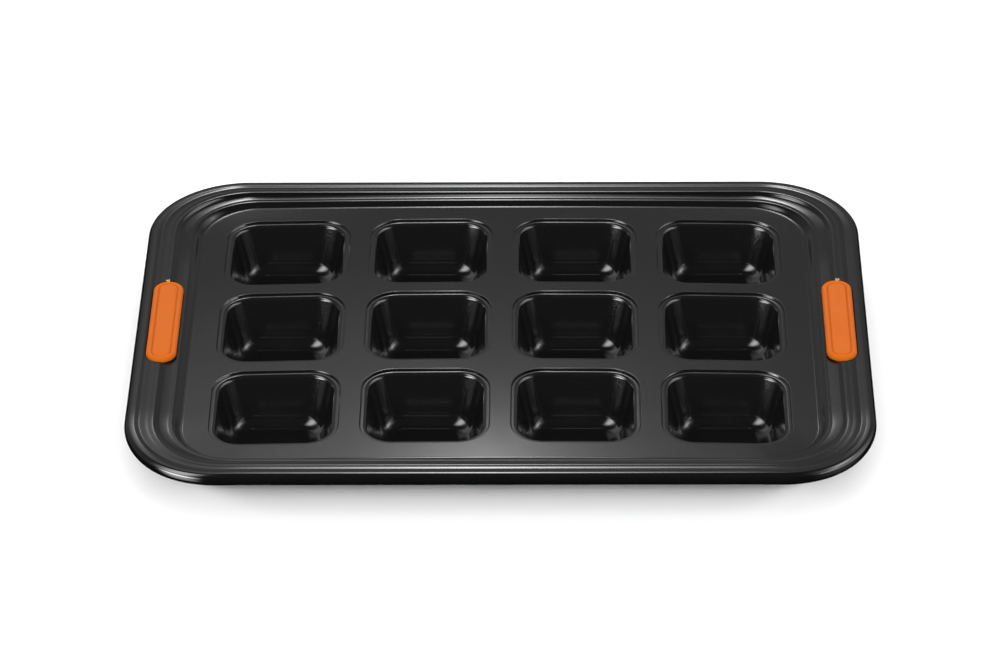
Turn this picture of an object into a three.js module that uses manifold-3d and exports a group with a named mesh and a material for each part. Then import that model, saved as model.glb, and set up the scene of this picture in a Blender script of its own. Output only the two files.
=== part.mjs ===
// Brownie pan: a pressed steel tray with a rolled rim, twelve square cups seated under the openings of
// its deck, and a silicone grip held in a slot at each short end.
// Millimetres, +Z up, X along the pan's length, the table at z = 0 under the middle of the pan.

import * as THREE from 'three';
import { mergeVertices } from 'three/addons/utils/BufferGeometryUtils.js';
import Module from 'manifold-3d';

const wasm = await Module();
wasm.setup();

// Sheet and the layout of the cups in the deck
const sheet = 1;
const columns = 4;
const rows = 3;
const opening = 68.3;
const openingRadius = 17;
const webBetweenColumns = 12.25;
const webBetweenRows = 10;
const deckMarginEnds = 14;
const deckMarginSides = 14.25;

// Drawn cup: depth from its flange to its floor, the flange's lap under the deck and the inside curves
const cupDepth = 27.2;
const cupLap = 4;
const openingReveal = 1.1;
const shoulderRadius = 2.3;
const wallDraft = THREE.MathUtils.degToRad(13.2);
const floorFillet = 9;
const floorCornerRadius = 4.4;

// Rim, from its rolled edge inward: widths at the short ends and along the long sides, and its drops
const cornerRadius = 55;
const beadRadius = 3.5;
const beadWrap = THREE.MathUtils.degToRad(250);
const beadSlopeWidth = 3.8;
const beadSlopeDrop = 0.35;
const flangeWidthEnds = 7.6;
const flangeWidthSides = 6;
const upperRiserWidthEnds = 3.3;
const upperRiserWidthSides = 3.1;
const upperRiserDrop = 1.6;
const ledgeWidthEnds = 7.4;
const ledgeWidthSides = 3;
const lowerRiserWidthEnds = 5.4;
const lowerRiserWidthSides = 3.9;
const lowerRiserDrop = 2.35;

// Silicone grip: its head lies in a recess of the rim, its neck passes a slot and its foot holds it below
const gripInset = 15.4;
const gripLength = 78;
const gripWidth = 17;
const gripHeight = 3.55;
const gripEdgeRadius = 2;
const gripBorder = 3.2;
const gripPanelSlope = 0.5;
const gripPanelDepth = 0.5;
const recessClearance = 0.5;
const slotLength = 66;
const slotWidth = 8;
const slotClearance = 0.3;
const footLap = 2.2;
const footHeight = 1.8;
const footEdge = 0.6;

// Facets of the curves
const rimCornerSteps = 8;
const cupCornerSteps = 4;
const curveSteps = 3;
const beadSteps = 10;
const gripEndSteps = 10;

// Levels from the table up
const cupFloor = sheet;
const deckUnder = cupFloor + cupDepth;
const deckTop = deckUnder + sheet;
const ledgeTop = deckTop + lowerRiserDrop;
const flangeTop = ledgeTop + upperRiserDrop;
const rimTop = flangeTop + beadSlopeDrop;
const padUnder = ledgeTop - sheet;

// Plan: the cups set the deck, and the rim adds its width all round
const pitchX = opening + webBetweenColumns;
const pitchY = opening + webBetweenRows;
const rimWidthEnds =
  beadRadius + beadSlopeWidth + flangeWidthEnds + upperRiserWidthEnds + ledgeWidthEnds + lowerRiserWidthEnds;
const rimWidthSides =
  beadRadius + beadSlopeWidth + flangeWidthSides + upperRiserWidthSides + ledgeWidthSides + lowerRiserWidthSides;
const halfLength = ((columns - 1) * pitchX + opening) / 2 + deckMarginEnds + rimWidthEnds;
const halfDepth = ((rows - 1) * pitchY + opening) / 2 + deckMarginSides + rimWidthSides;

// A rounded rectangle about the origin, counterclockwise, with the same number of points at every size.
function roundedRectangle(halfX, halfY, radius, steps) {
  const points = [];
  const corners = [[1, 1], [-1, 1], [-1, -1], [1, -1]];
  corners.forEach(([sideX, sideY], turn) => {
    const start = turn * Math.PI / 2;
    const arc = new THREE.EllipseCurve(
      sideX * (halfX - radius), sideY * (halfY - radius), radius, radius, start, start + Math.PI / 2);
    points.push(...arc.getPoints(steps));
  });
  return points;
}

// A slot outline with full round ends, its length along Y.
function stadium(length, width) {
  const radius = width / 2;
  const straight = length / 2 - radius;
  const far = new THREE.EllipseCurve(0, straight, radius, radius, 0, Math.PI);
  const near = new THREE.EllipseCurve(0, -straight, radius, radius, Math.PI, 2 * Math.PI);
  return [...far.getPoints(gripEndSteps), ...near.getPoints(gripEndSteps)];
}

// Outlines of equal count stacked into one closed skin. An open stack gets a cap below its first outline
// and above its last, and a closed one runs from its last outline back to its first.
function skin(layers, closed) {
  const count = layers[0].outline.length;
  const positions = [];
  const index = [];
  for (const { outline, z } of layers) {
    outline.forEach((point) => positions.push(point.x, point.y, z));
  }
  const bands = closed ? layers.length : layers.length - 1;
  for (let band = 0; band < bands; band++) {
    const low = band * count;
    const high = ((band + 1) % layers.length) * count;
    for (let i = 0; i < count; i++) {
      const j = (i + 1) % count;
      index.push(low + i, low + j, high + j, low + i, high + j, high + i);
    }
  }
  if (!closed) {
    const top = (layers.length - 1) * count;
    for (const [a, b, c] of THREE.ShapeUtils.triangulateShape(layers[0].outline, [])) {
      index.push(a, c, b);
    }
    for (const [a, b, c] of THREE.ShapeUtils.triangulateShape(layers[layers.length - 1].outline, [])) {
      index.push(top + a, top + b, top + c);
    }
  }
  const geometry = new THREE.BufferGeometry();
  geometry.setAttribute('position', new THREE.Float32BufferAttribute(positions, 3));
  geometry.setIndex(index);
  return geometry;
}

function prism(outline, low, high) {
  return skin([{ outline, z: low }, { outline, z: high }], false);
}

// Closed geometry to a solid for joining and cutting, and back.
function toSolid(geometry) {
  geometry.deleteAttribute('normal');
  geometry.deleteAttribute('uv');
  const merged = mergeVertices(geometry);
  return new wasm.Manifold(new wasm.Mesh({
    numProp: 3,
    vertProperties: new Float32Array(merged.attributes.position.array),
    triVerts: new Uint32Array(merged.index.array),
  }));
}

function toGeometry(solid) {
  const mesh = solid.getMesh();
  const geometry = new THREE.BufferGeometry();
  geometry.setAttribute('position', new THREE.Float32BufferAttribute(mesh.vertProperties, 3));
  geometry.setIndex(Array.from(mesh.triVerts));
  geometry.computeVertexNormals();
  return geometry;
}

// The rim's upper surface as steps inward from the top of the bead: how far in from the outer edge at the
// ends and at the sides, and how high.
const rimSteps = [{ ends: beadRadius, sides: beadRadius, z: rimTop }];

function addStep(widthEnds, widthSides, drop, parts) {
  const from = rimSteps[rimSteps.length - 1];
  for (let part = 1; part <= parts; part++) {
    const run = part / parts;
    const fall = (1 - Math.cos(Math.PI * run)) / 2;
    rimSteps.push({
      ends: from.ends + widthEnds * run,
      sides: from.sides + widthSides * run,
      z: from.z - drop * fall,
    });
  }
}

addStep(beadSlopeWidth, beadSlopeWidth, beadSlopeDrop, 2);
addStep(flangeWidthEnds, flangeWidthSides, 0, 1);
addStep(upperRiserWidthEnds, upperRiserWidthSides, upperRiserDrop, curveSteps);
addStep(ledgeWidthEnds, ledgeWidthSides, 0, 1);
addStep(lowerRiserWidthEnds, lowerRiserWidthSides, lowerRiserDrop, curveSteps);

function rimLayer({ ends, sides, z }) {
  const outline = roundedRectangle(
    halfLength - ends, halfDepth - sides, cornerRadius - sides, rimCornerSteps);
  return { outline, z };
}

// The rolled bead, from its top outward, down and back under the flange.
function beadArc(radius) {
  const layers = [];
  for (let part = 1; part <= beadSteps; part++) {
    const angle = Math.PI / 2 - beadWrap * part / beadSteps;
    const inset = beadRadius - radius * Math.cos(angle);
    layers.push({ ends: inset, sides: inset, z: rimTop - beadRadius + radius * Math.sin(angle) });
  }
  return layers;
}

// The rim runs a little way over the deck plate, so that the two join into one pressing.
const rimOverlap = sheet;
const deckEdge = rimSteps[rimSteps.length - 1];
const overDeck = { ends: deckEdge.ends + rimOverlap, sides: deckEdge.sides + rimOverlap, z: deckTop };
const upperSide = [...rimSteps, overDeck];
const underSide = upperSide.map(({ ends, sides, z }) => ({ ends, sides, z: z - sheet })).reverse();
underSide[0].z = deckUnder;
underSide[1].z = deckUnder;
const rimLoop = [...underSide, ...beadArc(beadRadius - sheet), ...beadArc(beadRadius).reverse(), ...upperSide];
const rim = toSolid(skin(rimLoop.map(rimLayer), true));

// The deck plate between the rim's lower risers, with one opening for each cup.
const cupCentres = [];
for (let row = 0; row < rows; row++) {
  for (let column = 0; column < columns; column++) {
    const x = (column - (columns - 1) / 2) * pitchX;
    const y = ((rows - 1) / 2 - row) * pitchY;
    cupCentres.push({ name: `cup_row${row + 1}_column${column + 1}`, x, y });
  }
}
const deckShape = new THREE.Shape(rimLayer(deckEdge).outline);
const openingOutline = roundedRectangle(opening / 2, opening / 2, openingRadius, cupCornerSteps);
for (const { x, y } of cupCentres) {
  const outline = openingOutline.map((point) => new THREE.Vector2(point.x + x, point.y + y));
  deckShape.holes.push(new THREE.Path(outline));
}
const deckPlate = new THREE.ExtrudeGeometry(deckShape, { depth: sheet, bevelEnabled: false });
deckPlate.translate(0, 0, deckUnder);
let tray = rim.add(toSolid(deckPlate));

// Everything under the rim's upper surface, to trim the walls of the grip recesses to it.
const underLevel = padUnder - sheet;
const underLoop = [
  { ...overDeck, z: underLevel },
  { ...rimSteps[0], z: underLevel },
  ...upperSide,
];
const underRim = toSolid(skin(underLoop.map(rimLayer), true));

// A recess for a grip at each short end: a floor at the level of the ledge, a wall up to the flange and a
// slot through the floor.
const recessLength = gripLength + 2 * recessClearance;
const recessWidth = gripWidth + 2 * recessClearance;
const recessOutline = stadium(recessLength, recessWidth);
const recessOuter = stadium(recessLength + 2 * sheet, recessWidth + 2 * sheet);
const gripCentre = halfLength - gripInset;
for (const x of [-gripCentre, gripCentre]) {
  const hollow = toSolid(prism(recessOutline, ledgeTop, rimTop + sheet)).translate([x, 0, 0]);
  const block = toSolid(prism(recessOuter, padUnder, rimTop)).translate([x, 0, 0]);
  const slot = toSolid(prism(stadium(slotLength, slotWidth), underLevel, rimTop)).translate([x, 0, 0]);
  const dish = block.subtract(hollow).intersect(underRim);
  tray = tray.subtract(hollow).add(dish).subtract(slot);
}

// A drawn cup about the origin: the outside from the floor up to the flange, then the inside back down.
function cupGeometry() {
  const shoulderHalf = opening / 2 - openingReveal;
  const shoulderLevel = deckUnder - shoulderRadius;
  const wallHalf = shoulderHalf - shoulderRadius * Math.cos(wallDraft);
  const wallLevel = shoulderLevel + shoulderRadius * Math.sin(wallDraft);
  const filletLevel = cupFloor + floorFillet;
  const wallRun = (wallLevel + floorFillet * Math.sin(wallDraft) - filletLevel) / Math.cos(wallDraft);
  const filletHalf = wallHalf - floorFillet * Math.cos(wallDraft) - wallRun * Math.sin(wallDraft);
  const upperCentre = shoulderHalf - (openingRadius - openingReveal);
  const lowerCentre = filletHalf - floorCornerRadius;

  function layer(half, z, centre) {
    return { outline: roundedRectangle(half, half, half - centre, cupCornerSteps), z };
  }
  function fillet(radius) {
    const layers = [];
    for (let part = 0; part <= curveSteps; part++) {
      const angle = -Math.PI / 2 + (Math.PI / 2 - wallDraft) * part / curveSteps;
      layers.push(layer(
        filletHalf + radius * Math.cos(angle), filletLevel + radius * Math.sin(angle), lowerCentre));
    }
    return layers;
  }
  function shoulder(radius) {
    const layers = [];
    for (let part = 0; part <= curveSteps; part++) {
      const tilt = (Math.PI / 2 - wallDraft) * (1 - part / curveSteps);
      layers.push(layer(
        shoulderHalf - radius * Math.sin(tilt), shoulderLevel + radius * Math.cos(tilt), upperCentre));
    }
    return layers;
  }
  const flangeHalf = opening / 2 + cupLap;
  return skin([
    ...fillet(floorFillet + sheet),
    ...shoulder(shoulderRadius - sheet),
    layer(flangeHalf, deckUnder - sheet, upperCentre),
    layer(flangeHalf, deckUnder, upperCentre),
    ...shoulder(shoulderRadius).reverse(),
    ...fillet(floorFillet).reverse(),
  ], false);
}

// A grip about its centre line: foot, neck and rounded head with a sunk panel, moulded in one.
function gripGeometry() {
  const neckLength = slotLength - 2 * slotClearance;
  const neckWidth = slotWidth - 2 * slotClearance;
  const footLength = slotLength + 2 * footLap;
  const footWidth = slotWidth + 2 * footLap;
  const gripTop = ledgeTop + gripHeight;
  const layers = [
    { outline: stadium(footLength - 2 * footEdge, footWidth - 2 * footEdge), z: padUnder - footHeight },
    { outline: stadium(footLength, footWidth), z: padUnder - footHeight + footEdge },
    { outline: stadium(footLength, footWidth), z: padUnder },
    { outline: stadium(neckLength, neckWidth), z: padUnder },
    { outline: stadium(neckLength, neckWidth), z: ledgeTop },
    { outline: stadium(gripLength, gripWidth), z: ledgeTop },
  ];
  for (let part = 0; part <= curveSteps; part++) {
    const angle = Math.PI / 2 * part / curveSteps;
    const inset = gripEdgeRadius * (1 - Math.cos(angle));
    layers.push({
      outline: stadium(gripLength - 2 * inset, gripWidth - 2 * inset),
      z: gripTop - gripEdgeRadius + gripEdgeRadius * Math.sin(angle),
    });
  }
  const panelInset = gripBorder + gripPanelSlope;
  layers.push({ outline: stadium(gripLength - 2 * gripBorder, gripWidth - 2 * gripBorder), z: gripTop });
  layers.push({
    outline: stadium(gripLength - 2 * panelInset, gripWidth - 2 * panelInset),
    z: gripTop - gripPanelDepth,
  });
  return skin(layers, false);
}

// Assembly
const pan = new THREE.Group();

function coatedSteel() {
  return new THREE.MeshStandardMaterial({ color: 0x343536, roughness: 0.35, metalness: 0.2 });
}

function silicone() {
  return new THREE.MeshStandardMaterial({ color: 0xdf7430, roughness: 0.55, metalness: 0 });
}

const trayMesh = new THREE.Mesh(toGeometry(tray), coatedSteel());
trayMesh.name = 'tray';
pan.add(trayMesh);

for (const { name, x, y } of cupCentres) {
  const cup = new THREE.Mesh(cupGeometry(), coatedSteel());
  cup.name = name;
  cup.position.set(x, y, 0);
  pan.add(cup);
}

for (const [name, x] of [['left_grip', -gripCentre], ['right_grip', gripCentre]]) {
  const grip = new THREE.Mesh(gripGeometry(), silicone());
  grip.name = name;
  grip.position.set(x, 0, 0);
  pan.add(grip);
}

export default pan;
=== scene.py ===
import math

import bmesh
import bpy
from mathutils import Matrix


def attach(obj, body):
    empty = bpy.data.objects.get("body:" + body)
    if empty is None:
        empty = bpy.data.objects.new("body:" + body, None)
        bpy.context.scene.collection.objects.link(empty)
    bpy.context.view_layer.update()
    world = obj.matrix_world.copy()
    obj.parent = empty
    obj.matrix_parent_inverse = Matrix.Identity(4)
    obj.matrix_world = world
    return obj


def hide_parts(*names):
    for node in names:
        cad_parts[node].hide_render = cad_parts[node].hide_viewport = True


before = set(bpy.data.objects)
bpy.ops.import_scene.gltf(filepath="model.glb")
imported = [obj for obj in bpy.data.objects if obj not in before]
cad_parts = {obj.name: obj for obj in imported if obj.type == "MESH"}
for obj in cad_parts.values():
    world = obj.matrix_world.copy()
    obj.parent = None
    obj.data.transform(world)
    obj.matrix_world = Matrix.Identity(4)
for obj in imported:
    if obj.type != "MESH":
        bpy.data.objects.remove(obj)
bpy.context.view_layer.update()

# Tray: one pressing of sheet steel with a satin charcoal non-stick coating. Its deck has an opening for each
# cup and is drawn slightly crowned, and its rim steps up to a flange whose edge is rolled under into a bead.
mm = 0.001
sheet = 1 * mm
half_length = 200 * mm
half_depth = 150 * mm
corner_radius = 55 * mm
rim_top = 33.5 * mm
pad_top = 31.55 * mm
deck_top = 29.2 * mm
opening = 68.3 * mm
opening_radius = 17 * mm
pitch_x = 80.55 * mm
pitch_y = 78.3 * mm
rows = 3
columns = 4
cup_places = [((column - (columns - 1) / 2) * pitch_x, ((rows - 1) / 2 - row) * pitch_y)
              for row in range(rows) for column in range(columns)]

# The deck stands highest in the middle. Its fall to the sides and its bow to the ends grow with the square of
# the distance from the middle, in metres for each square metre.
crown_height = 2.2 * mm
side_fall = 0.12
end_bow = 0.1
end_bow_less_at_back = 0.045
back_edge = 126.5 * mm
back_onset = 8


def bow(x, y):
    """How far the pressed sheet hangs towards its ends. It bows less along the back."""
    back = min(1, max(0, y / back_edge))
    return (end_bow - end_bow_less_at_back * back ** back_onset) * x * x


def crown(x, y):
    """How far the crowned deck stands above a flat one."""
    return crown_height - side_fall * y * y - bow(x, y)


def smooth(value):
    """Rises softly from 0 to 1."""
    value = min(1, max(0, value))
    return value * value * (3 - 2 * value)


def rounded_loop(bm, outline, corner_steps, cuts_x, cuts_y):
    """A closed loop of edges round a rounded rectangle of a half length, half depth, radius and height."""
    half_x, half_y, radius, height = outline
    corners = bmesh.ops.create_grid(bm, x_segments=1, y_segments=1, size=1)["verts"]
    bmesh.ops.scale(bm, verts=corners, vec=(half_x, half_y, 1))
    bmesh.ops.translate(bm, verts=corners, vec=(0, 0, height))
    bmesh.ops.bevel(bm, geom=corners, offset=radius, offset_type="OFFSET", segments=corner_steps, profile=0.5,
                    affect="VERTICES", material=-1)
    face = max(bm.faces, key=lambda each: len(each.verts))
    bmesh.ops.delete(bm, geom=[face], context="FACES_ONLY")
    for cuts, half, axis in ((cuts_x, half_x - radius, 0), (cuts_y, half_y - radius, 1)):
        straight = [edge for edge in bm.edges
                    if edge.is_wire and abs(edge.verts[0].co[axis] - edge.verts[1].co[axis]) > half]
        if cuts:
            bmesh.ops.subdivide_edges(bm, edges=straight, cuts=cuts)
    return [edge for edge in bm.edges if edge.is_wire]


def carry(verts, start, end):
    """Moves the points of one rounded rectangle to their places on another."""
    core_x, core_y = start[0] - start[2], start[1] - start[2]
    next_x, next_y = end[0] - end[2], end[1] - end[2]
    swell = end[2] / start[2]
    for vert in verts:
        x = max(-core_x, min(core_x, vert.co.x))
        y = max(-core_y, min(core_y, vert.co.y))
        vert.co.x = x * next_x / core_x + (vert.co.x - x) * swell
        vert.co.y = y * next_y / core_y + (vert.co.y - y) * swell
        vert.co.z = end[3]


def draw_out(bm, loop, outlines):
    """Extrudes a loop from its first outline through all the others and returns the last loop."""
    for start, end in zip(outlines, outlines[1:]):
        grown = bmesh.ops.extrude_edge_only(bm, edges=loop)["geom"]
        carry([g for g in grown if isinstance(g, bmesh.types.BMVert)], start, end)
        loop = [g for g in grown if isinstance(g, bmesh.types.BMEdge) and g.is_boundary]
    return loop


def softened(points, rounds):
    """Rounds the corners of a chain of points by cutting them off again and again."""
    for _ in range(rounds):
        cut = [points[0]]
        for start, end in zip(points, points[1:]):
            cut.append(tuple(0.75 * a + 0.25 * b for a, b in zip(start, end)))
            cut.append(tuple(0.25 * a + 0.75 * b for a, b in zip(start, end)))
        points = cut + [points[-1]]
    return points


def rim_outline(place):
    """The rim's outline at an inset from the ends, an inset from the sides and a drop below the rim's top."""
    ends, sides, drop = place
    return (half_length - ends * mm, half_depth - sides * mm, corner_radius - sides * mm, rim_top - drop * mm)


# Points closer than this are one point.
same_place = 1e-6


def finish_sheet(bm, name, wrong_way_up):
    """Turns an open sheet upwards, gives it smooth shading and the sheet's thickness with eased cut edges."""
    bmesh.ops.remove_doubles(bm, verts=bm.verts, dist=same_place)
    bmesh.ops.recalc_face_normals(bm, faces=bm.faces)
    if wrong_way_up(bm):
        bmesh.ops.reverse_faces(bm, faces=bm.faces)
    for face in bm.faces:
        face.smooth = True
    mesh = bpy.data.meshes.new(name)
    bm.to_mesh(mesh)
    bm.free()
    piece = bpy.data.objects.new(name, mesh)
    bpy.context.collection.objects.link(piece)
    wall = piece.modifiers.new("sheet", "SOLIDIFY")
    wall.thickness = sheet
    wall.offset = -1
    edge = piece.modifiers.new("cut edges", "BEVEL")
    edge.width = 0.25 * mm
    edge.segments = 3
    edge.limit_method = "ANGLE"
    edge.angle_limit = math.radians(60)
    return piece


# The deck is made from twelve like cells, each a square of sheet round one opening. The opening's edge is
# eased over, given as distances outwards from the opening and drops below the deck, in mm.
opening_edge = softened([(0, 0.95), (0.15, 0.8), (0.5, 0.1), (0.75, 0), (1.2, 0)], 2)
level_band = 2 * mm
cell_corner = 9 * mm
cup_corner_steps = 14
cup_side_cuts = 9
tray = bmesh.new()
cell_rings = []
for outward, drop in opening_edge:
    half = opening / 2 + outward * mm
    cell_rings.append((half, half, opening_radius + outward * mm, deck_top - drop * mm))
band_half = opening / 2 + level_band
cell_rings.append((band_half, band_half, opening_radius + level_band / 2, deck_top))
cell_rings.append((pitch_x / 2, pitch_y / 2, cell_corner, deck_top))
draw_out(tray, rounded_loop(tray, cell_rings[0], cup_corner_steps, cup_side_cuts, cup_side_cuts), cell_rings)
cell = tray.verts[:] + tray.edges[:] + tray.faces[:]
for place_x, place_y in cup_places:
    copied = bmesh.ops.duplicate(tray, geom=cell)["geom"]
    bmesh.ops.translate(tray, verts=[g for g in copied if isinstance(g, bmesh.types.BMVert)],
                        vec=(place_x, place_y, 0))
bmesh.ops.delete(tray, geom=[g for g in cell if isinstance(g, bmesh.types.BMVert)], context="VERTS")
bmesh.ops.remove_doubles(tray, verts=tray.verts, dist=same_place)


def off_opening(edge):
    """Whether an edge lies away from the edge of every opening."""
    middle = (edge.verts[0].co + edge.verts[1].co) / 2
    reach = opening / 2 + 0.1 * mm
    return all(max(abs(middle.x - x), abs(middle.y - y)) > reach for x, y in cup_places)


# The small gaps where four cells meet lie well inside the block of cups, and are filled.
inside_x = 1.9 * pitch_x
inside_y = 1.4 * pitch_y
web_edges = [edge for edge in tray.edges if edge.is_boundary and off_opening(edge)]
bmesh.ops.holes_fill(tray, edges=[edge for edge in web_edges if abs(edge.verts[0].co.x) < inside_x
                                  and abs(edge.verts[0].co.y) < inside_y], sides=0)
border = [edge for edge in tray.edges if edge.is_boundary and off_opening(edge)]

# The rim from the bead's crest inwards, as insets from the ends and from the sides and drops below the top,
# in mm. Row by row: crest, step to the flange, flange with two faint waves, upper riser, ledge, lower riser
# and the fine line at its foot.
rim_steps = [
    (1.4, 1.4, 0.73), (1.8, 1.8, 0.35), (2.6, 2.6, 0),
    (5.2, 5.5, 0.07), (5.5, 5.7, 0.1), (7.9, 7.2, 0.45),
    (8.8, 7.6, 0.41), (11, 9, 0.31), (12.6, 10.4, 0.36), (13.8, 10.8, 0.32), (16, 13.3, 0.34),
    (17.3, 13.5, 1.2), (18.6, 14.6, 1.5), (23.2, 16.2, 1.97),
    (24.4, 17.5, 1.93), (25.9, 19.6, 1.93),
    (29.3, 22.5, 4.32),
    (30, 23.3, 4.3), (30.3, 23.5, 4.26), (30.5, 23.6, 4.3),
]
deck_border = (31.1, 23.9, 4.3)
rim_steps = softened(rim_steps, 2) + [deck_border]

# The lower rim, from the deck up to just under the flange, is bent with the deck. The upper rim stays level.
lower_rim_top = 0.42
lower_rim = rim_steps[-1:]
while lower_rim[-1][2] > lower_rim_top:
    lower_rim.append(rim_steps[-1 - len(lower_rim)])
upper_rim = rim_steps[-1 - len(lower_rim)::-1]

# The bead rolls on from the crest, outwards, down and back under the flange. It hangs a little below a round.
bead_radius = 3.5
bead_hang = 4.1
bead_start = 52
bead_turn = 212
bead_steps = 24
for step in range(1, bead_steps + 1):
    angle = math.radians(bead_start - bead_turn * step / bead_steps)
    inset = bead_radius - bead_radius * math.cos(angle)
    height = bead_radius if angle > 0 else bead_hang
    upper_rim.append((inset, inset, bead_radius - height * math.sin(angle)))

# The rim's loop is cut finer by the ends of the grips, where the recess for each grip has its round ends.
rim_corner_steps = 24
rim_cuts_x = 30
rim_cuts_y = 40
finer_from = 26 * mm
finer_to = 48 * mm
finer_cuts = 8
rim_loop = rounded_loop(tray, rim_outline(lower_rim[0]), rim_corner_steps, rim_cuts_x, rim_cuts_y)
by_grip_ends = [edge for edge in rim_loop if abs(edge.verts[0].co.x) == abs(edge.verts[1].co.x)
                and finer_from < abs(edge.verts[0].co.y + edge.verts[1].co.y) / 2 < finer_to]
bmesh.ops.subdivide_edges(tray, edges=by_grip_ends, cuts=finer_cuts)
rim_loop = [edge for edge in tray.edges if edge.is_wire]
bmesh.ops.triangle_fill(tray, use_beauty=True, edges=border + rim_loop, normal=(0, 0, 1))
rim_loop = draw_out(tray, rim_loop, [rim_outline(step) for step in lower_rim])

# The crown fades out up to the ledge. Along the back the ledge itself bows down a little towards the ends.
flange_level = rim_top - lower_rim[-1][2] * mm
bow_fade = 1.2 * mm
back_ledge_bow = 0.055
back_ledge_reach = 130 * mm
back_begins = 60 * mm
back_run = 60 * mm
for vert in tray.verts:
    under_flange = smooth((flange_level - vert.co.z) / bow_fade)
    under_ledge = max(0, (pad_top - vert.co.z) / (pad_top - deck_top))
    at_back = smooth((vert.co.y - back_begins) / back_run)
    ledge_bow = back_ledge_bow * min(abs(vert.co.x), back_ledge_reach) ** 2 * at_back
    vert.co.z += under_ledge * crown(vert.co.x, vert.co.y) - (1 - under_ledge) * under_flange * ledge_bow
draw_out(tray, rim_loop, [rim_outline(step) for step in lower_rim[-1:] + upper_rim])

# The two front corners hang a little.
corner_hang = 1.6 * mm
corner_begins_x = 135 * mm
corner_begins_y = 85 * mm
corner_run = 50 * mm
for vert in tray.verts:
    by_end = smooth((abs(vert.co.x) - corner_begins_x) / corner_run)
    by_front = smooth((-vert.co.y - corner_begins_y) / corner_run)
    vert.co.z -= corner_hang * (by_end * by_front)

# The rim is pressed down under each grip, and a shallow ramp runs out of the recess at the grip's far end.
recess_finer_band = 1.2 * mm
recess_finer_cuts = 2
recess_reach = 1 * mm
recess_edge = 0.1 * mm
recess_edge_run = 0.35 * mm
ramp_length = 4 * mm
ramp_width = 5 * mm
ramp_depth = 0.6 * mm
grip_inset = 15.4 * mm
grip_length = 79.6 * mm
grip_width = 16.6 * mm
grip_centre = half_length - grip_inset


def beyond_grip(x, y):
    """Distance in plan from the outline of the nearer grip, negative inside it."""
    straight = (grip_length - grip_width) / 2
    along = max(abs(y) - straight, 0)
    return math.hypot(abs(x) - grip_centre, along) - grip_width / 2


by_grips = [edge for edge in tray.edges
            if all(abs(beyond_grip(vert.co.x, vert.co.y)) < recess_finer_band for vert in edge.verts)]
bmesh.ops.subdivide_edges(tray, edges=by_grips, cuts=recess_finer_cuts, use_grid_fill=True)
for vert in tray.verts:
    gap = beyond_grip(vert.co.x, vert.co.y)
    if gap < recess_reach and vert.co.z > pad_top:
        vert.co.z = pad_top + (vert.co.z - pad_top) * smooth((gap - recess_edge) / recess_edge_run)
    along = vert.co.y - grip_length / 2
    across = abs(abs(vert.co.x) - grip_centre)
    if 0 < along < ramp_length and across < ramp_width / 2:
        vert.co.z -= ramp_depth * (1 - along / ramp_length) * (1 - (2 * across / ramp_width) ** 4)


def deck_faces_down(bm):
    """Whether the face nearest the middle of the deck looks downwards."""
    return min(bm.faces, key=lambda face: face.calc_center_median().length).normal.z < 0


def coated_steel(name, smoothest, roughest, darkest, palest):
    """Satin charcoal coating with a faintly cloudy sheen, speckled tone and very fine grain."""
    cool = 1.04
    material = bpy.data.materials.new(name)
    material.use_nodes = True
    nodes, links = material.node_tree.nodes, material.node_tree.links
    shader = nodes["Principled BSDF"]
    place = nodes.new("ShaderNodeTexCoord")
    clouds = nodes.new("ShaderNodeTexNoise")
    clouds.inputs["Scale"].default_value = 35
    clouds.inputs["Detail"].default_value = 4
    links.new(place.outputs["Object"], clouds.inputs["Vector"])
    sheen = nodes.new("ShaderNodeMapRange")
    sheen.inputs["To Min"].default_value = smoothest
    sheen.inputs["To Max"].default_value = roughest
    links.new(clouds.outputs["Fac"], sheen.inputs["Value"])
    links.new(sheen.outputs["Result"], shader.inputs["Roughness"])
    speckle = nodes.new("ShaderNodeTexNoise")
    speckle.inputs["Scale"].default_value = 900
    speckle.inputs["Detail"].default_value = 2
    links.new(place.outputs["Object"], speckle.inputs["Vector"])
    colour = nodes.new("ShaderNodeMix")
    colour.data_type = "RGBA"
    colour.inputs["A"].default_value = (darkest, darkest, cool * darkest, 1)
    colour.inputs["B"].default_value = (palest, palest, cool * palest, 1)
    links.new(speckle.outputs["Fac"], colour.inputs["Factor"])
    links.new(colour.outputs["Result"], shader.inputs["Base Color"])
    grain = nodes.new("ShaderNodeBump")
    grain.inputs["Strength"].default_value = 0.012
    grain.inputs["Distance"].default_value = 0.0002
    links.new(speckle.outputs["Fac"], grain.inputs["Height"])
    links.new(grain.outputs["Normal"], shader.inputs["Normal"])
    return material


steel = coated_steel("charcoal coating", smoothest=0.09, roughest=0.13, darkest=0.003, palest=0.005)
tray = finish_sheet(tray, "tray_sheet", deck_faces_down)
tray.data.materials.append(steel)
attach(tray, "root")
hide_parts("tray")

# Cups: twelve square cups drawn from the same coated sheet. Each hangs by a flange under the deck's opening,
# rounds over a soft shoulder into drafted walls and ends in a flat floor with a wide fillet.
cup_flange = deck_top - sheet
cup_lap = 4 * mm
reveal = 1.1 * mm
shoulder_radius = 2.3 * mm
floor_fillet = 9 * mm
floor_middle_radius = 2 * mm
draft = math.radians(13.2)
bend_steps = 12
wall_steps = 8
shoulder_half = opening / 2 - reveal
shoulder_level = cup_flange - shoulder_radius
wall_half = shoulder_half - shoulder_radius * math.cos(draft)
wall_level = shoulder_level + shoulder_radius * math.sin(draft)
fillet_level = sheet + floor_fillet
wall_run = (wall_level + floor_fillet * math.sin(draft) - fillet_level) / math.cos(draft)
fillet_half = wall_half - floor_fillet * math.cos(draft) - wall_run * math.sin(draft)
wall_radius = opening_radius - reveal - shoulder_radius * math.cos(draft)


def cup_ring(half, height, radius):
    """The outline of a square ring of the cup."""
    return (half, half, radius, height)


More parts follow.
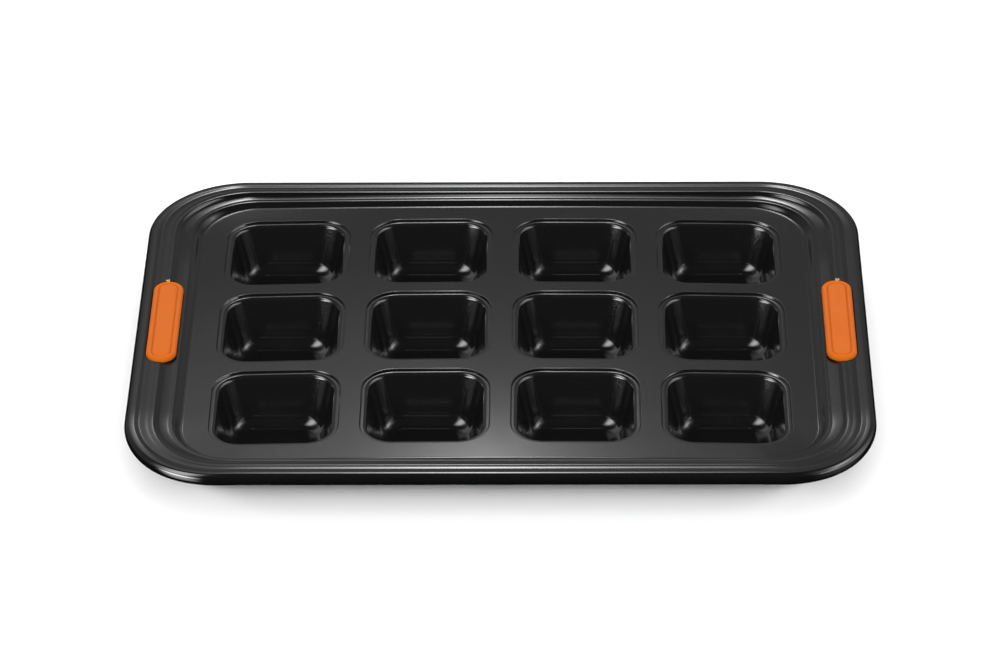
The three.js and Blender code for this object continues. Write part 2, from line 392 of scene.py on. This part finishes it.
flange_half = opening / 2 + cup_lap
cup_rings = [cup_ring(flange_half, cup_flange, opening_radius + cup_lap)]
for step in range(bend_steps + 1):
    tilt = (math.pi / 2 - draft) * step / bend_steps
    inward = shoulder_radius * math.sin(tilt)
    cup_rings.append(cup_ring(shoulder_half - inward, shoulder_level + shoulder_radius * math.cos(tilt),
                              opening_radius - reveal - inward))
foot_half = fillet_half + floor_fillet * math.cos(draft)
foot_level = fillet_level - floor_fillet * math.sin(draft)
for step in range(1, wall_steps):
    run = step / wall_steps
    cup_rings.append(cup_ring(wall_half + (foot_half - wall_half) * run,
                              wall_level + (foot_level - wall_level) * run, wall_radius))
for step in range(bend_steps + 1):
    angle = -draft - (math.pi / 2 - draft) * step / bend_steps
    outward = floor_fillet * math.cos(angle)
    cup_rings.append(cup_ring(fillet_half + outward, fillet_level + floor_fillet * math.sin(angle),
                              wall_radius - floor_fillet * math.cos(draft) + outward))
cup_rings.append(cup_ring(fillet_half / 2, sheet, floor_middle_radius))


def cup_floor_down(bm):
    """Whether the cup's floor looks downwards."""
    return min(bm.faces, key=lambda face: face.calc_center_median().z).normal.z < 0


# The cups share the tray's coating, a little rougher on the drawn walls. Its base colour is painted paler
# than the tray's to stand in for the soft light inside the cups: painted light.
cup_steel_painted_paler = coated_steel("charcoal coating, cups, painted paler", smoothest=0.115, roughest=0.145, darkest=0.004,
                           palest=0.0065)
for index, (place_x, place_y) in enumerate(cup_places):
    cup = bmesh.new()
    mouth = rounded_loop(cup, cup_rings[0], cup_corner_steps, cup_side_cuts, cup_side_cuts)
    floor_loop = draw_out(cup, mouth, cup_rings)
    bmesh.ops.holes_fill(cup, edges=floor_loop, sides=0)
    bmesh.ops.translate(cup, verts=cup.verts, vec=(place_x, place_y, 0))
    for vert in cup.verts:
        up_the_wall = (vert.co.z - sheet) / (cup_flange - sheet)
        vert.co.z += up_the_wall * crown(vert.co.x, vert.co.y)
    name = f"row{index // columns + 1}_column{index % columns + 1}"
    cup = finish_sheet(cup, f"cup_shell_{name}", cup_floor_down)
    # Each cup gets the coating copy whose paler base colour is painted light.
    cup.data.materials.append(cup_steel_painted_paler)
    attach(cup, "root")
    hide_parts(f"cup_{name}")

# Grips: one orange silicone moulding at each short end. The head lies in the rim's recess with a rounded
# border round a sunk panel, and a neck through the slot and a foot under the rim hold it.
pad_under = pad_top - sheet
head_height = 3.55
grip_top = pad_top + head_height * mm
neck_length = 65.4 * mm
neck_width = 7.4 * mm
end_core = 0.01 * mm


def round_ended(length, width, height):
    """An outline with round ends, lying along the pan's short side."""
    return (width / 2, length / 2, width / 2 - end_core, height)


def neck_outline(wider, height):
    """The neck's outline, or one wider than it all round, at a height above the table."""
    return round_ended(neck_length + wider * mm, neck_width + wider * mm, height)


def head_outline(inset, drop):
    """The head's outline at an inset from its edge and a drop below its top, both in mm."""
    return round_ended(grip_length - 2 * inset * mm, grip_width - 2 * inset * mm, grip_top - drop * mm)


# From below: the foot's underside, its rounded edge and its top, the neck, and the head's underside.
grip_rings = [
    neck_outline(1.8, pad_under - 1.8 * mm),
    neck_outline(3.8, pad_under - 1.8 * mm),
    neck_outline(4.7, pad_under - 1.55 * mm),
    neck_outline(5, pad_under - 1.2 * mm),
    neck_outline(5, pad_under),
    neck_outline(0, pad_under),
    neck_outline(0, pad_top),
    head_outline(2.6, head_height),
    head_outline(1.4, 3.1),
    head_outline(0.5, 2.85),
]
head_edge_radius = 2
head_edge_start = -22.5
head_edge_turn = 11.25
head_edge_steps = 10
for step in range(head_edge_steps + 1):
    angle = math.radians(head_edge_start + head_edge_turn * step)
    grip_rings.append(head_outline(head_edge_radius - head_edge_radius * math.cos(angle),
                                   head_edge_radius - head_edge_radius * math.sin(angle)))

# The groove between the border and the panel, and the panel itself, as insets and drops in mm.
groove_and_panel = [(2.5, 0.06), (2.75, 0.25), (2.95, 0.65), (3.2, 0.8), (3.45, 0.65), (3.65, 0.36),
                    (3.9, 0.26), (5, 0.22), (6.5, 0.2)]
grip_rings += [head_outline(inset, drop) for inset, drop in groove_and_panel]


def orange_silicone(name):
    """Satin moulded silicone: even orange with a faint cloudiness and a very fine matt texture."""
    material = bpy.data.materials.new(name)
    material.use_nodes = True
    nodes, links = material.node_tree.nodes, material.node_tree.links
    shader = nodes["Principled BSDF"]
    shader.inputs["Roughness"].default_value = 0.6
    shader.inputs["Specular IOR Level"].default_value = 0.1
    place = nodes.new("ShaderNodeTexCoord")
    clouds = nodes.new("ShaderNodeTexNoise")
    clouds.inputs["Scale"].default_value = 60
    links.new(place.outputs["Object"], clouds.inputs["Vector"])
    colour = nodes.new("ShaderNodeMix")
    colour.data_type = "RGBA"
    colour.inputs["A"].default_value = (0.43, 0.088, 0.0035, 1)
    colour.inputs["B"].default_value = (0.47, 0.099, 0.0045, 1)
    links.new(clouds.outputs["Fac"], colour.inputs["Factor"])
    links.new(colour.outputs["Result"], shader.inputs["Base Color"])
    matt = nodes.new("ShaderNodeTexNoise")
    matt.inputs["Scale"].default_value = 1500
    links.new(place.outputs["Object"], matt.inputs["Vector"])
    texture = nodes.new("ShaderNodeBump")
    texture.inputs["Strength"].default_value = 0.06
    texture.inputs["Distance"].default_value = 0.0002
    links.new(matt.outputs["Fac"], texture.inputs["Height"])
    links.new(texture.outputs["Normal"], shader.inputs["Normal"])
    return material


silicone = orange_silicone("orange silicone")
grip_end_steps = 16
grip_side_cuts = 12
for side, place_x in (("left", -grip_centre), ("right", grip_centre)):
    grip = bmesh.new()
    foot = rounded_loop(grip, grip_rings[0], grip_end_steps, 0, grip_side_cuts)
    draw_out(grip, foot, grip_rings)
    bmesh.ops.holes_fill(grip, edges=[edge for edge in grip.edges if edge.is_boundary], sides=0)
    bmesh.ops.translate(grip, verts=grip.verts, vec=(place_x, 0, 0))
    bmesh.ops.recalc_face_normals(grip, faces=grip.faces)
    for face in grip.faces:
        face.smooth = True
    mesh = bpy.data.meshes.new(f"{side}_grip_moulding")
    grip.to_mesh(mesh)
    grip.free()
    mesh.set_sharp_from_angle(angle=math.radians(50))
    grip = bpy.data.objects.new(f"{side}_grip_moulding", mesh)
    bpy.context.collection.objects.link(grip)
    grip.data.materials.append(silicone)
    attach(grip, "root")
    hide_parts(f"{side}_grip")

# Studio: a plain white floor, a soft dome for even light and a row of soft boxes in front. The coating
# reflects a dim room instead of the dome, with a bright strip behind the pan and tall panels in front of it
# on both sides.
floor_half = 4
floor = bmesh.new()
bmesh.ops.create_grid(floor, x_segments=1, y_segments=1, size=floor_half)
mesh = bpy.data.meshes.new("floor")
floor.to_mesh(mesh)
floor.free()
floor = bpy.data.objects.new("floor", mesh)
bpy.context.collection.objects.link(floor)
paper = bpy.data.materials.new("white paper")
paper.use_nodes = True
paper_shader = paper.node_tree.nodes["Principled BSDF"]
paper_shader.inputs["Base Color"].default_value = (0.95, 0.95, 0.95, 1)
paper_shader.inputs["Roughness"].default_value = 1
paper_shader.inputs["Specular IOR Level"].default_value = 0
floor.data.materials.append(paper)
floor.visible_glossy = False
floor.visible_diffuse = False

studio = bpy.data.worlds.new("studio")
bpy.context.scene.world = studio
studio.use_nodes = True
nodes, links = studio.node_tree.nodes, studio.node_tree.links


def math_node(operation, *values):
    """A math node fed with sockets or plain numbers."""
    node = nodes.new("ShaderNodeMath")
    node.operation = operation
    for socket, value in zip(node.inputs, values):
        if isinstance(value, (int, float)):
            socket.default_value = value
        else:
            links.new(value, socket)
    return node.outputs["Value"]


def smooth_step(value, low, high):
    """Rises softly from 0 at low to 1 at high, or falls where high is the smaller."""
    node = nodes.new("ShaderNodeMapRange")
    node.interpolation_type = "SMOOTHSTEP"
    links.new(value, node.inputs["Value"])
    node.inputs["From Min"].default_value = low
    node.inputs["From Max"].default_value = high
    return node.outputs["Result"]


direction = nodes.new("ShaderNodeTexCoord")
split = nodes.new("ShaderNodeSeparateXYZ")
links.new(direction.outputs["Generated"], split.inputs["Vector"])
east, north, up = split.outputs["X"], split.outputs["Y"], split.outputs["Z"]
elevation = math_node("DEGREES", math_node("ARCSINE", up))
from_back = math_node("DEGREES", math_node("ARCTAN2", east, north))
from_front = math_node("DEGREES", math_node("ARCTAN2", east, math_node("MULTIPLY", north, -1)))


def panel(azimuth, sides, low_edge, high_edge, radiance):
    """A soft-edged bright panel of the studio. Its sides are a left and a right azimuth and their softness,
    and its lower and upper edges are an elevation and a softness each, all in degrees."""
    left, right, side_soft = sides
    low, low_soft = low_edge
    high, high_soft = high_edge
    across = math_node("MULTIPLY", smooth_step(azimuth, left - side_soft, left + side_soft),
                       smooth_step(azimuth, right + side_soft, right - side_soft))
    upright = math_node("MULTIPLY", smooth_step(elevation, low - low_soft, low + low_soft),
                        smooth_step(elevation, high + high_soft, high - high_soft))
    return math_node("MULTIPLY", math_node("MULTIPLY", across, upright), radiance)


# The strip behind the pan is tall and narrow, brighter in its lower part, and fades to both sides.
strip_middle = -1.45
strip_half = 1.15
strip_side = math_node("DIVIDE", math_node("ADD", from_back, -strip_middle), strip_half)
strip_fade = math_node("DIVIDE", 1, math_node("ADD", math_node("MULTIPLY", strip_side, strip_side), 1))
strip_low = panel(from_back, (-60, 60, 20), (40.5, 5.2), (51, 13), 21)
strip_whole = panel(from_back, (-60, 60, 20), (40.5, 5.2), (69, 6), 8.4)
strip = math_node("MULTIPLY", math_node("ADD", strip_low, strip_whole), strip_fade)

# The rest of what the coating reflects.
back_wall = panel(from_back, (-110, 110, 20), (0, 2), (46, 12), 0.25)
back_glow = panel(from_back, (-30, 3, 8), (33, 4), (60, 8), 0.55)
left_panel = panel(from_front, (-68, -36, 11), (0, 5), (15, 8), 29)
left_panel_foot = panel(from_front, (-68, -36, 11), (-42, 15), (0, 5), 6)
left_panel_top = panel(from_front, (-81, -48, 13), (25, 9), (65, 15), 9.5)
right_panel = panel(from_front, (59, 116, 20), (3, 4), (47, 12), 2.2)
right_bar = panel(from_front, (74, 106, 8), (34, 3), (42, 4), 5)
right_slit = panel(from_front, (52, 74, 3), (18, 2.2), (20.5, 1.5), 17)
right_panel_foot = panel(from_front, (55, 100, 15), (-44, 14), (20, 6), 0.39)
ceiling = panel(from_front, (-150, 150, 20), (38, 10), (80, 15), 0.03)
room_glow = 0.006
light = strip
for each in (back_wall, back_glow, left_panel, left_panel_foot, left_panel_top, right_panel, right_bar,
             right_slit, right_panel_foot, ceiling):
    light = math_node("ADD", light, each)
light = math_node("ADD", light, room_glow)
gloss = nodes.new("ShaderNodeBackground")
gloss.inputs["Color"].default_value = (1, 1, 1, 1)
links.new(light, gloss.inputs["Strength"])

# The dome that lights the floor and the grips is brightest behind the pan, and dim overhead in front.
dome_glow = 0.17
dome = nodes["Background"]
dome.inputs["Color"].default_value = (1, 1, 1, 1)
dome_back = panel(from_back, (-50, 50, 20), (-10, 5), (75, 12), 2.1)
dome_front = panel(from_front, (-80, 80, 20), (48, 4), (75, 10), 0.2)
fill = math_node("ADD", dome_back, dome_front)
links.new(math_node("ADD", fill, dome_glow), dome.inputs["Strength"])
ray = nodes.new("ShaderNodeLightPath")
choice = nodes.new("ShaderNodeMixShader")
links.new(ray.outputs["Is Glossy Ray"], choice.inputs["Fac"])
links.new(dome.outputs["Background"], choice.inputs[1])
links.new(gloss.outputs["Background"], choice.inputs[2])
links.new(choice.outputs["Shader"], nodes["World Output"].inputs["Surface"])

# A row of long soft boxes in front of the pan throws its soft shadow on the floor.
box_distance = 6
box_height = math.radians(33.8)
box_level = box_distance * math.sin(box_height)
box_away = box_distance * math.cos(box_height)
for degrees in (-60, -30, 0, 30, 60):
    turn = math.radians(degrees)
    lamp = bpy.data.lights.new("soft box", "AREA")
    lamp.shape = "RECTANGLE"
    lamp.size = 3
    lamp.size_y = 0.75
    lamp.energy = 120
    soft_box = bpy.data.objects.new("soft box", lamp)
    soft_box.location = (box_away * math.sin(turn), -box_away * math.cos(turn), box_level)
    soft_box.rotation_euler = (math.pi / 2 - box_height, 0, turn)
    soft_box.visible_glossy = False
    bpy.context.collection.objects.link(soft_box)

# The camera looks down on the pan from the front through a long lens.
lens = bpy.data.cameras.new("camera")
lens.sensor_width = 36
lens.lens = 179.956
lens.clip_end = 20
camera = bpy.data.objects.new("camera", lens)
camera.location = (0.033618, -2.305507, 1.507465)
camera.rotation_euler = (math.radians(57.26551), math.radians(0.479857), math.radians(0.5521))
bpy.context.collection.objects.link(camera)
bpy.context.scene.camera = camera
bpy.context.scene.view_settings.view_transform = "Standard"
